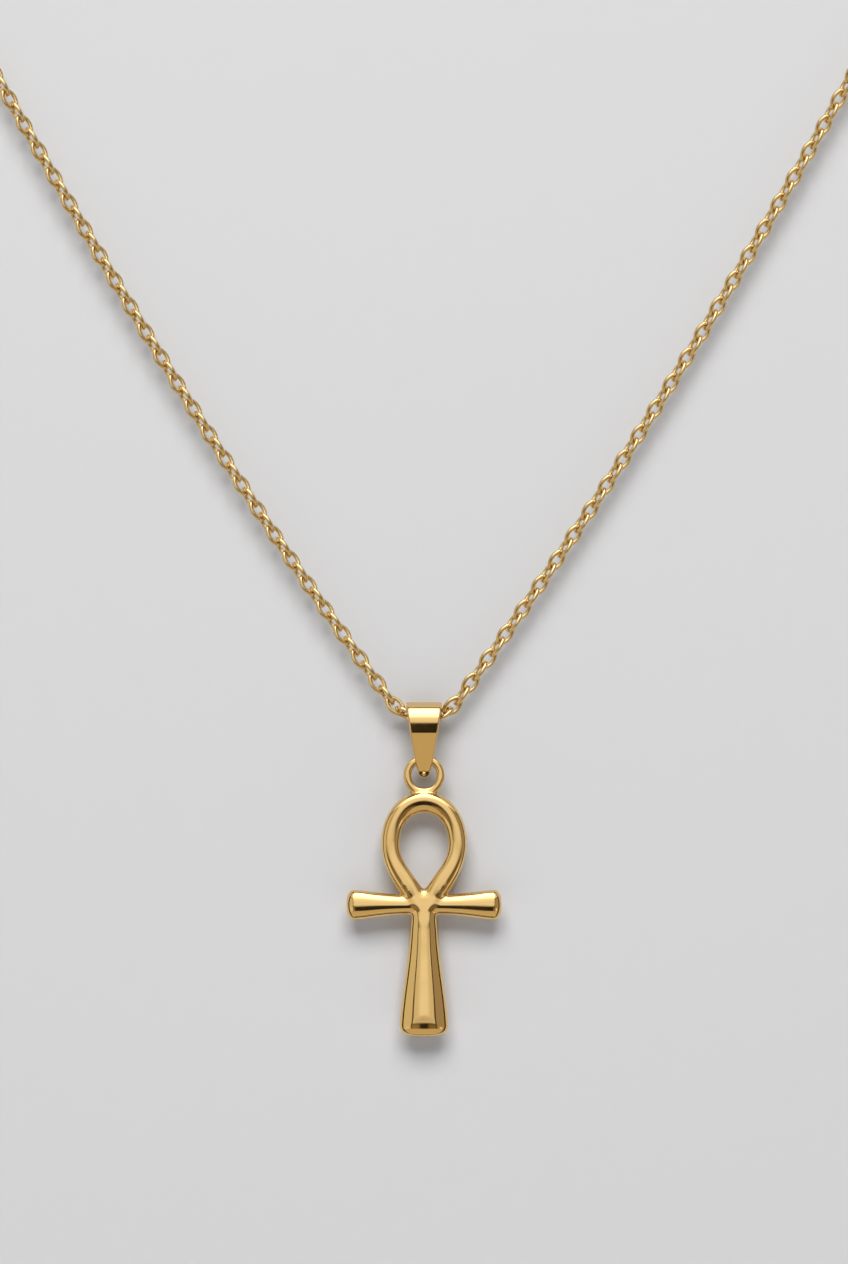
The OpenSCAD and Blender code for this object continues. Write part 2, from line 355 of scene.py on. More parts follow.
@dataclass
class Ankh:
    """The casting: round eye, drop-shaped loop, two arms and the stem.

    Heights are measured from the axis of the arms. A row of body_rows is across and up along the
    middle of the loop's right half and on down the stem, then the section as bar_field takes it.
    A row of arm_rows is along, half height and half depth, one of crest_rows is up and the most
    half depth at the crossing, and one of grain_spots is across, up and radius. Sizes are half
    sizes across, up and deep, apart from eye_bar, a section as bar_field takes it.
    """

    below_swing: float = 18.9
    eye_lift: float = 16.8
    eye_radius: float = 2.17
    eye_bar: tuple[float, float, float, float, float] = (0.52, 0.54, 0.0, 2.8, 3.2)
    neck_lift: float = 14.5
    neck_size: tuple[float, float, float] = (1.88, 0.68, 0.62)
    cap_place: float = 8.8
    cap_size: tuple[float, float, float] = (1.4, 2.13, 1.29)
    foot_place: float = 15.1
    foot_size: tuple[float, float, float] = (3.6, 2.6, 1.545)
    arm_straight: float = 8.88
    arm_round: float = 1.2
    arm_fullness: float = 2.2
    stem_straight: float = 15.35
    stem_round: float = 1.8
    cell: float = 0.13
    box_low: tuple[float, float] = (-1.9, -17.5)
    box_high: tuple[float, float] = (1.9, 19.8)
    box_room: float = 0.3
    crotch_fillet: float = 1.1
    crotch_fades: tuple[float, float] = (6.5, 4.0)
    crotch_starts: tuple[float, float] = (-1.5, 2.5)
    foot_blend: float = 0.12
    foot_blend_start: float = 1.0
    cap_blend: float = 0.12
    cross_fillet: float = 0.5
    neck_fillet: float = 0.45
    crown_fillet: float = 0.25
    body_rows: tuple = (
        (0.0, 13.36, 1.42, 1.15, 0.27, 2.2, 2.15), (2.17, 12.69, 1.36, 1.15, 0.2, 2.3, 2.2),
        (3.76, 10.81, 1.25, 1.15, 0.05, 2.6, 2.5), (4.36, 8.25, 1.21, 1.15, 0.0, 2.8, 2.8),
        (4.19, 6.5, 1.21, 1.15, 0.0, 2.9, 3.2), (3.63, 4.97, 1.26, 1.17, 0.0, 2.9, 3.8),
        (2.86, 3.63, 1.33, 1.19, 0.03, 2.8, 4.2), (2.0, 2.32, 1.38, 1.2, 0.03, 2.6, 4.0),
        (1.18, 1.05, 1.42, 1.18, 0.0, 2.4, 3.0), (0.46, -0.2, 1.5, 1.215, 0.0, 2.3, 2.5),
        (0.1, -1.5, 1.68, 1.33, 0.0, 2.3, 2.3), (0.0, -3.0, 1.85, 1.33, 0.0, 2.2, 2.2),
        (0.0, -4.6, 1.96, 1.34, 0.0, 2.17, 2.17), (0.0, -6.62, 2.14, 1.355, 0.0, 2.14, 2.14),
        (0.0, -9.74, 2.53, 1.42, 0.0, 2.1, 2.1), (0.0, -12.86, 2.93, 1.5, 0.0, 2.04, 2.04),
        (0.0, -14.75, 3.12, 1.545, 0.0, 2.0, 2.0), (0.0, -16.0, 3.2, 1.56, 0.0, 2.0, 2.0),
        (0.0, -17.15, 3.24, 1.57, 0.0, 2.0, 2.0))
    arm_rows: tuple = (
        (0.0, 1.3, 1.2), (2.2, 1.31, 1.15), (3.5, 1.37, 1.16), (5.0, 1.5, 1.2), (6.62, 1.7, 1.24),
        (8.0, 1.88, 1.27), (8.6, 1.93, 1.28), (9.1, 1.95, 1.29), (10.1, 1.99, 1.3))
    crest_rows: tuple = (
        (-5.0, 1.6), (-4.2, 1.4), (-3.4, 1.335), (-2.8, 1.319), (-2.2, 1.308), (-1.6, 1.297), (-1.0, 1.286),
        (-0.4, 1.275), (0.2, 1.263), (0.7, 1.25), (1.2, 1.28), (1.8, 1.45), (2.4, 1.6))
    crest_blend: float = 0.05
    grain_spots: tuple = (
        (1.8, -1.35, 0.4), (2.3, 1.55, 0.5), (2.9, 2.5, 0.35), (0.0, 12.2, 0.42), (0.8, 12.1, 0.42),
        (1.6, 11.75, 0.42), (2.2, 11.2, 0.4), (2.7, 10.5, 0.35), (1.95, 14.6, 0.4), (1.2, 14.75, 0.3))

    def __post_init__(self) -> None:
        """Prepares the splines through the tables."""
        crest = np.array(self.crest_rows)
        self.crest_line = Spline(crest[:, 0], crest[:, 1:])
        before = [(-row[0], *row[1:]) for row in self.body_rows[3:0:-1]]
        self.body_path = SmoothPath(before + list(self.body_rows))
        arm = np.array([(*row, 0.0, self.arm_fullness, self.arm_fullness) for row in self.arm_rows])
        self.arm_line = Spline(arm[:, 0], arm[:, 1:])

    def half_body(self, x: np.ndarray, y: np.ndarray, z: np.ndarray) -> np.ndarray:
        """Distance field of the right half of the loop and of the stem."""
        flat_x, flat_z = np.broadcast_arrays(x, z)
        place = self.body_path.nearest(flat_x, flat_z)
        row = self.body_path.at(place)
        along = self.body_path.at(place, 1)
        over = np.maximum(-flat_z - self.stem_straight, 0)
        off_x, off_z = flat_x - row[..., 0], np.where(over > 0, 0, flat_z - row[..., 1])
        outside = np.sign(off_z * along[..., 0] - off_x * along[..., 1])
        return bar_field(outside * np.hypot(off_x, off_z), y, over / self.stem_round, row[..., 2:])

    def shape(self, x: np.ndarray, y: np.ndarray, z: np.ndarray) -> np.ndarray:
        """Distance field of the whole casting."""
        (gone, fading), (start, rising) = self.crotch_fades, self.crotch_starts
        fillet = self.crotch_fillet * eased((gone - z) / fading) * eased((z - start) / rising)
        body = smooth_min(self.half_body(x, y, z), self.half_body(-x, y, z), fillet)
        foot = egg_field(x, np.minimum(z + self.foot_place, 0), y, self.foot_size)
        below = self.foot_blend_start - self.foot_place - z
        rounded = smooth_max(body, foot, self.foot_blend * np.clip(below, 0.02, 1))
        body = np.where(below > 0, rounded, body)
        along = np.abs(x) + 0 * z
        size = self.arm_line.held(along)
        over = np.maximum(along - self.arm_straight, 0) / self.arm_round
        cap = egg_field(np.maximum(along - self.cap_place, 0), z, y, self.cap_size)
        arms = smooth_max(bar_field(z + 0 * x, y, over, size), cap, self.cap_blend)
        neck = egg_field(x, z - self.neck_lift, y, self.neck_size)
        ring = np.hypot(x, z - self.eye_lift) - self.eye_radius
        eye = bar_field(ring + 0 * y, y, 0 * ring, np.array(self.eye_bar))
        cross = smooth_min(body, arms, self.cross_fillet)
        level = self.crest_line.held(z + 0 * x)[..., 0]
        cross = smooth_max(cross, np.abs(y) - level, self.crest_blend)
        return smooth_min(cross, smooth_min(eye, neck, self.neck_fillet), self.crown_fillet)

    def grain(self, places: np.ndarray) -> np.ndarray:
        """How much of the cast skin the polishing left at some places, from 0 to 1."""
        left = np.zeros(len(places))
        for across, up, radius in self.grain_spots:
            apart = (np.abs(places[:, 0]) - across) ** 2 + (places[:, 2] - up) ** 2
            left = np.maximum(left, np.exp(-apart / radius**2))
        return left

    def build(self, material: bpy.types.Material) -> bpy.types.Object:
        """Makes the casting and puts it in the frame in place of its solid.

        Args:
            material: its finish.

        Returns:
            The finished piece.
        """
        reach = self.arm_straight + self.arm_round + self.box_room
        casting = Casting(self.shape, (-reach, *self.box_low), (reach, *self.box_high), self.cell)
        piece = casting.piece("ankh_casting", joint_height("ankh_swing") - self.below_swing, material)
        grain = piece.data.attributes.new(GRAIN, "FLOAT", "POINT")
        grain.data.foreach_set("value", self.grain(casting.verts))
        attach(piece, "ankh")
        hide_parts("ankh")
        return piece


@dataclass
class Bail:
    """Tapered strip bent over the chain, with its ends joined below the eye of the pendant.

    Heights are measured from the axis of the roll. A row of side_rows is front to back and up,
    from the foot round the front to the top. A row of front_rows is up and half width. The seat
    of the pendant's eye is a slot with round ends. The tip is an upright disc, its tip_size a
    radius and half depth, and pin_place is front to back and up.
    """

    swing_drop: float = 4.85
    strip: float = 0.5
    seat: float = 0.72
    seat_drop: float = 0.22
    edge: float = 0.24
    tip_lift: float = -6.48
    tip_size: tuple[float, float] = (0.74, 0.45)
    tip_slope: float = 0.14
    pin_place: tuple[float, float] = (-0.27, -6.7)
    pin_radius: float = 0.28
    hollow_blend: float = 0.1
    side_blend: float = 0.05
    tip_edge: float = 0.1
    pin_fillet: float = 0.04
    taper_share: float = 0.97
    cell: float = 0.075
    box_low: tuple[float, float, float] = (-2.6, -2.8, -7.4)
    box_high: tuple[float, float, float] = (2.6, 2.8, 2.8)
    overlap: int = 3
    side_rows: tuple = (
        (0.0, -6.5), (0.32, -6.46), (0.53, -6.33), (0.62, -6.16), (0.75, -5.8), (1.095, -4.85), (1.64, -3.35),
        (2.185, -1.92), (2.372, -1.4), (2.458, -0.76), (2.503, -0.17), (2.498, 0.25), (2.438, 0.62),
        (2.22, 1.19), (1.858, 1.783), (1.434, 2.158), (0.855, 2.46), (0.0, 2.61))
    front_rows: tuple = (
        (-6.6, 0.76), (-6.3, 0.81), (-5.84, 0.94), (-4.93, 1.18), (-3.37, 1.46), (-1.95, 1.72),
        (-1.3, 1.84), (0.0, 2.0), (1.0, 2.13), (1.75, 2.22), (2.05, 2.3), (2.7, 2.36))

    def __post_init__(self) -> None:
        """Prepares the splines through the tables."""
        loop = [*self.side_rows, *((-deep, up) for deep, up in self.side_rows[-2:0:-1])]
        self.side_path = SmoothPath(loop[-self.overlap:] + loop + loop[:self.overlap])
        front = np.array(self.front_rows)
        self.front_line = Spline(front[:, 0], front[:, 1:])

    def outline(self, y: np.ndarray, z: np.ndarray) -> np.ndarray:
        """Signed distance from the side outline, negative inside."""
        place = self.side_path.nearest(y, z)
        row = self.side_path.at(place)
        along = self.side_path.at(place, 1)
        off_y, off_z = y - row[..., 0], z - row[..., 1]
        sign = np.sign(off_y * along[..., 1] - off_z * along[..., 0])
        return sign * np.hypot(off_y, off_z)

    def shape(self, x: np.ndarray, y: np.ndarray, z: np.ndarray) -> np.ndarray:
        """Distance field of the bail."""
        outer = self.outline(*np.broadcast_arrays(y, z))
        lower = z + self.swing_drop
        round_seat = np.hypot(y, lower - np.clip(lower, -self.seat_drop, 0)) - self.seat
        hollow = smooth_max(outer + self.strip, np.minimum(-lower, round_seat), self.hollow_blend)
        side = smooth_max(outer, -hollow, self.side_blend)
        half = self.front_line.held(z)[..., 0]
        strip = round_max(side, (np.abs(x) - half) * self.taper_share, self.edge)
        radius, deep = self.tip_size
        below = z - self.tip_lift
        leaf = np.abs(y) - self.tip_slope * below - deep
        tip = np.maximum(round_max(np.hypot(x, below) - radius, leaf, self.tip_edge), -round_seat)
        pin = np.sqrt(x**2 + (np.abs(y) + self.pin_place[0]) ** 2 + (z - self.pin_place[1]) ** 2)
        return smooth_min(np.minimum(strip, tip), pin - self.pin_radius, self.pin_fillet)

    def build(self, material: bpy.types.Material) -> bpy.types.Object:
        """Makes the bail and puts it in the frame in place of its solid.

        Args:
            material: its finish.

        Returns:
            The finished piece.
        """
        casting = Casting(self.shape, self.box_low, self.box_high, self.cell)
        piece = casting.piece("bail_strip", joint_height("bail_swing"), material)
        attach(piece, "bail")
        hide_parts("bail")
        return piece


@dataclass
class Chain:
    """Cable chain of oval links, whose route is worked out as the solids' is.

    A row of route is a link's number, counted from the bail, and its slope above level. A row of
    turns is a link's number and its turn about the chain's line, a quarter more on every second.
    """

    length: float = 457.0
    pitch: float = 1.95
    bend_pitch: float = 1.7
    bend_links: int = 3
    clasp_room: float = 5.2
    opening: float = 1.07
    play: float = 0.12
    wire: float = 0.58
    end_share: float = 0.7
    link_sides: int = 24
    wire_sides: int = 8
    least_sloping: int = 8
    route: tuple = (
        (0, 11.0), (1, 31.0), (2, 45.0), (3, 54.0), (12, 55.5), (23, 57.5), (36, 59.3), (50, 60.4))
    turns: tuple = ((0, 40.0), (1, 30.0), (2, 20.0), (9, 30.0))

    def __post_init__(self) -> None:
        """Works out the links' places, in the plane of the chain."""
        self.count = 2 * round((self.length - self.clasp_room) / self.pitch / 4)
        numbers = np.arange(self.count)
        slope = np.radians(np.interp(numbers, *np.array(self.route).T))
        step = np.where(numbers < self.bend_links, self.bend_pitch, self.pitch)
        across = np.concatenate([[0.0], np.cumsum(step * np.cos(slope))])
        for sloping in range(self.least_sloping, self.count):
            arc = (math.pi - slope[sloping]) / (self.count - sloping)
            if across[sloping] - self.pitch * math.sin(slope[sloping]) / (2 * math.sin(arc / 2)) \
                    >= self.clasp_room / 2:
                break
        rounding = slope[sloping] + arc * (numbers - sloping + 0.5)
        self.heading = np.where(numbers < sloping, slope, rounding)
        reach = step[:, None] / 2 * np.stack([np.cos(self.heading), np.sin(self.heading)], axis=1)
        ends = np.cumsum(2 * reach, axis=0)
        self.centres = ends - reach - (0.0, ends[-1, 1])
        drift = np.interp(numbers, *np.array(self.turns).T)
        drift = drift * np.minimum(1, (self.count - 1 - numbers) / (self.count - sloping))
        self.turn = np.radians(drift + 90 * (numbers % 2))

    def link_tree(self, material: bpy.types.Material) -> bpy.types.NodeTree:
        """Geometry Nodes that put a link of round wire on every point.

        Args:
            material: the chain's finish.

        Returns:
            The node tree, with named inputs for the link's sizes.
        """
        tree, net = geometry_tree("Cable chain")
        half_l = (self.pitch + self.play + self.wire) / 2
        half_w = (self.opening + self.wire) / 2
        end_r = self.end_share * half_w
        side_r = (half_l**2 + half_w**2 - 2 * half_l * end_r) / (2 * (half_w - end_r))
        add_inputs(tree, {
            "End Centre": (half_l - end_r) * MM, "End Radius": end_r * MM,
            "Side Centre": (half_w - side_r) * MM, "Side Radius": side_r * MM,
            "End Reach": math.cos(math.atan2(side_r - half_w, half_l - end_r)),
            "Wire Radius": self.wire / 2 * MM,
            "Link Sides": self.link_sides, "Wire Sides": self.wire_sides})
        given = net.add("NodeGroupInput").outputs
        ring = net.add("GeometryNodeCurvePrimitiveCircle", {"Resolution": given["Link Sides"], "Radius": 1.0})
        place = net.add("ShaderNodeSeparateXYZ", {0: net.add("GeometryNodeInputPosition").outputs[0]})
        towards_end, towards_side = place.outputs["X"], place.outputs["Y"]
        is_end = net.math("GREATER_THAN", net.math("ABSOLUTE", towards_end), given["End Reach"])
        is_side = net.math("SUBTRACT", 1.0, is_end)
        radius = net.math("ADD", net.math("MULTIPLY", is_end, given["End Radius"]),
                          net.math("MULTIPLY", is_side, given["Side Radius"]))
        shifts = [
            net.math("MULTIPLY", net.math("MULTIPLY", net.math("SIGN", towards), given[centre]), used)
            for towards, centre, used in (
                (towards_end, "End Centre", is_end), (towards_side, "Side Centre", is_side))]
        spots = [
            net.math("ADD", shift, net.math("MULTIPLY", towards, radius))
            for shift, towards in zip(shifts, (towards_end, towards_side))]
        oval = net.add("GeometryNodeSetPosition", {
            "Geometry": ring.outputs["Curve"],
            "Position": net.add("ShaderNodeCombineXYZ", {"X": spots[0], "Y": spots[1]}).outputs[0]})
        wire = net.add("GeometryNodeCurvePrimitiveCircle", {
            "Resolution": given["Wire Sides"], "Radius": given["Wire Radius"]})
        link = net.add("GeometryNodeCurveToMesh", {
            "Curve": oval.outputs[0], "Profile Curve": wire.outputs["Curve"], "Fill Caps": False})
        attitude = net.add("GeometryNodeInputNamedAttribute", {"Name": "attitude"}, data_type="FLOAT_VECTOR")
        turned = net.add("FunctionNodeEulerToRotation", {"Euler": attitude.outputs["Attribute"]})
        links = net.add("GeometryNodeInstanceOnPoints", {
            "Points": given["Geometry"], "Instance": link.outputs[0], "Rotation": turned.outputs[0]})
        solid = net.add("GeometryNodeRealizeInstances", {"Geometry": links.outputs[0]})
        smooth = net.add("GeometryNodeSetShadeSmooth", {"Geometry": solid.outputs[0]})
        dressed = net.add("GeometryNodeSetMaterial", {"Geometry": smooth.outputs[0], "Material": material})
        net.add("NodeGroupOutput", {"Geometry": dressed.outputs[0]})
        return tree

    def build(self, side: Side, tree: bpy.types.NodeTree) -> bpy.types.Object:
        """Makes one run of the chain and puts it in the frame in place of its solids.

        Args:
            side: which run.
            tree: the Geometry Nodes from link_tree.

        Returns:
            The finished piece.
        """
        name = f"cable_{side.name.lower()}"
        facing = math.radians(side.value)
        points = bpy.data.meshes.new(name + "_route")
        points.from_pydata(
            [(math.cos(facing) * x * MM, 0, z * MM) for x, z in self.centres.tolist()], [], [])
        attitude = points.attributes.new("attitude", "FLOAT_VECTOR", "POINT")
        attitude.data.foreach_set("vector", np.stack([
            math.pi / 2 + self.turn, -self.heading, np.full(self.count, facing)], axis=1).ravel())
        carrier = placed(name + "_route", points)
        carrier.modifiers.new("Cable chain", "NODES").node_group = tree
        graph = bpy.context.evaluated_depsgraph_get()
        mesh = bpy.data.meshes.new_from_object(carrier.evaluated_get(graph), depsgraph=graph)
        bpy.data.objects.remove(carrier)
        mesh.name = name
        piece = placed(name, mesh)
        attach(piece, "chain")
        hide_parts(f"chain_{side.name.lower()}")
        return piece


@dataclass(frozen=True)
class Net:
    """Short hand for filling a node tree."""

    tree: bpy.types.NodeTree

    def add(self, kind: str, inputs: dict | None = None, **settings: object) -> bpy.types.Node:
        """Adds a node and fills its inputs.

        Args:
            kind: the node's type.
            inputs: input names or numbers to plain values or to outputs to link from.
            settings: the node's own properties.

        Returns:
            The node.
        """
        node = self.tree.nodes.new(kind)
        for name, value in settings.items():
            setattr(node, name, value)
        for name, value in (inputs or {}).items():
            if isinstance(value, bpy.types.NodeSocket):
                self.tree.links.new(value, node.inputs[name])
            else:
                node.inputs[name].default_value = value
        return node

    def math(self, operation: str, *values: object) -> bpy.types.NodeSocket:
        """Adds a Math node of one operation and returns its output."""
        return self.add("ShaderNodeMath", dict(enumerate(values)), operation=operation).outputs[0]

    def mix(self, share: object, first: object, second: object) -> bpy.types.NodeSocket:
        """Adds a blend of two colours and returns its output."""
        return self.add("ShaderNodeMix", {"Factor": share, "A": first, "B": second},
                        data_type="RGBA").outputs["Result"]

    def noise(self, place: object, scale: object, detail: float) -> bpy.types.NodeSocket:
        """Adds a noise texture and returns its value."""
        return self.add(
            "ShaderNodeTexNoise", {"Vector": place, "Scale": scale, "Detail": detail}).outputs["Fac"]


def blank_net(owner: bpy.types.Material | bpy.types.World) -> Net:
    """Net over the emptied nodes of a material or a world."""
    owner.use_nodes = True
    owner.node_tree.nodes.clear()
    return Net(owner.node_tree)


def add_inputs(tree: bpy.types.NodeTree, inputs: dict[str, object]) -> None:
    """Gives a group named inputs, whose default values are counts, numbers or colours."""
    kinds = {int: "NodeSocketInt", float: "NodeSocketFloat", tuple: "NodeSocketColor"}
    for name, value in inputs.items():
        kind = kinds[type(value)]
        tree.interface.new_socket(name, in_out="INPUT", socket_type=kind).default_value = value


def new_group(
        name: str, inputs: dict[str, object],
        outputs: dict[str, str]) -> tuple[bpy.types.NodeTree, Net]:
    """Starts a shader node group with named inputs and outputs.

    Args:
        name: the group's name.
        inputs: input names to their default values, a number or a colour.
        outputs: output names to their socket types.

    Returns:
        The group and its Net.
    """
    group = bpy.data.node_groups.new(name, "ShaderNodeTree")
    add_inputs(group, inputs)
    for label, kind in outputs.items():
        group.interface.new_socket(label, in_out="OUTPUT", socket_type=kind)
    return group, Net(group)


def geometry_tree(name: str) -> tuple[bpy.types.NodeTree, Net]:
    """Starts Geometry Nodes that take and give one geometry, with their Net."""
    tree = bpy.data.node_groups.new(name, "GeometryNodeTree")
    for way in ("OUTPUT", "INPUT"):
        tree.interface.new_socket("Geometry", in_out=way, socket_type="NodeSocketGeometry")
    return tree, Net(tree)


def plating_group() -> bpy.types.NodeTree:
    """Slow changes of tone in the gold plating.

    Returns:
        The group, which puts out a colour.
    """
    group, net = new_group(
        "Plating tone",
        {"Gold": (1, 1, 1, 1), "Deep Gold": (1, 1, 1, 1), "Patch Scale": 200.0, "Amount": 0.5},
        {"Color": "NodeSocketColor"})
    given = net.add("NodeGroupInput").outputs
    place = net.add("ShaderNodeTexCoord").outputs["Object"]
    share = net.math("MULTIPLY", net.noise(place, given["Patch Scale"], 3.0), given["Amount"])
    net.add("NodeGroupOutput", {"Color": net.mix(share, given["Gold"], given["Deep Gold"])})
    return group


def polish_group() -> bpy.types.NodeTree:
    """Haze and hair scratches of a polished surface.

    Returns:
        The group, which puts out a roughness and a height.
    """
    group, net = new_group(
        "Polish",
        {"Least Roughness": 0.05, "Most Roughness": 0.15, "Haze Scale": 400.0, "Scratch Scale": 900.0,
         "Scratch Stretch": 8.0, "Scratch Share": 0.66, "Scratch Depth": 0.02,
         "Ripple Scale": 150.0, "Ripple": 0.3, "Grain": 0.0, "Grain Scale": 5200.0,
         "Grain Height": 3.2, "Grain Roughness": 0.14},
        {"Roughness": "NodeSocketFloat", "Height": "NodeSocketFloat"})
    given = net.add("NodeGroupInput").outputs
    place = net.add("ShaderNodeTexCoord").outputs["Object"]
    haze = net.noise(place, given["Haze Scale"], 4.0)
    spread = net.add("ShaderNodeMapRange", {
        "Value": haze, "From Min": 0.35, "From Max": 0.7,
        "To Min": given["Least Roughness"], "To Max": given["Most Roughness"]})
    drawn_out = net.add("ShaderNodeCombineXYZ", {"X": 1.0, "Y": 1.0, "Z": given["Scratch Stretch"]})
    stretched = net.add("ShaderNodeVectorMath", {0: place, 1: drawn_out.outputs[0]}, operation="DIVIDE")
    scratch = net.noise(stretched.outputs[0], given["Scratch Scale"], 2.0)
    fine = net.math("GREATER_THAN", scratch, given["Scratch Share"])
    ripple = net.noise(place, given["Ripple Scale"], 1.0)
    even = net.math("SUBTRACT", net.math("MULTIPLY", ripple, given["Ripple"]),
                    net.math("MULTIPLY", fine, given["Scratch Depth"]))
    deepest = net.math("MULTIPLY", given["Grain Height"], given["Grain"])
    rise = net.math("MULTIPLY", net.noise(place, given["Grain Scale"], 1.0), deepest)
    rough = net.math("MULTIPLY", given["Grain"], given["Grain Roughness"])
    net.add("NodeGroupOutput", {
        "Roughness": net.math("ADD", spread.outputs["Result"], rough), "Height": net.math("ADD", even, rise)})
    return group


@dataclass(frozen=True)
class GoldFinish:
    """Polished gold plating.

    Colours are linear. Scales are per metre, as Object coordinates are in metres.
    """

    name: str
    gold: tuple[float, float, float]
    deep_gold: tuple[float, float, float]
    least_roughness: float
    most_roughness: float
    haze_scale: float
    ripple: float
    ripple_scale: float
    bump: float
    patch_scale: float = 260.0
    tone_amount: float = 0.35
    scratch_scale: float = 5200.0
    scratch_stretch: float = 7.0

    def material(self, plating: bpy.types.NodeTree, polish: bpy.types.NodeTree) -> bpy.types.Material:
        """Makes the material.

        Args:
            plating: the Plating tone group.
            polish: the Polish group.

        Returns:
            The material.
        """
        made = bpy.data.materials.new(self.name)
        net = blank_net(made)
        tone = net.add("ShaderNodeGroup", {
            "Gold": (*self.gold, 1), "Deep Gold": (*self.deep_gold, 1),
            "Patch Scale": self.patch_scale, "Amount": self.tone_amount}, node_tree=plating)
        grain = net.add("ShaderNodeAttribute", attribute_name=GRAIN)
        shine = net.add("ShaderNodeGroup", {
            "Least Roughness": self.least_roughness, "Most Roughness": self.most_roughness,
            "Haze Scale": self.haze_scale, "Scratch Scale": self.scratch_scale,
            "Scratch Stretch": self.scratch_stretch, "Ripple Scale": self.ripple_scale,
            "Ripple": self.ripple, "Grain": grain.outputs["Fac"]}, node_tree=polish)
        bump = net.add("ShaderNodeBump", {
            "Height": shine.outputs["Height"], "Strength": self.bump, "Distance": 0.02 * MM})
        metal = net.add("ShaderNodeBsdfPrincipled", {
            "Base Color": tone.outputs["Color"], "Roughness": shine.outputs["Roughness"],
            "Metallic": 1.0, "Normal": bump.outputs["Normal"]})
        net.add("ShaderNodeOutputMaterial", {"Surface": metal.outputs[0]})
        return made


@dataclass(frozen=True)
class Panel:
    """A field of the studio as the gold reflects it, laid over the ones before it.

    Angles are degrees as seen from the pendant: left and right of its front, and above level.
    Its side and level edges fade over side_soft and level_soft.
    """

    name: str
    left: float
    right: float
    bottom: float
    top: float
    colour: tuple[float, float, float]
    side_soft: float = 2.0
    level_soft: float = 3.0

    def edges(self) -> dict[str, float]:
        """Its edges, by the names of the Panel group's inputs."""
        return {
            "Left": self.left, "Right": self.right, "Bottom": self.bottom, "Top": self.top,
            "Side Soft": self.side_soft, "Level Soft": self.level_soft}


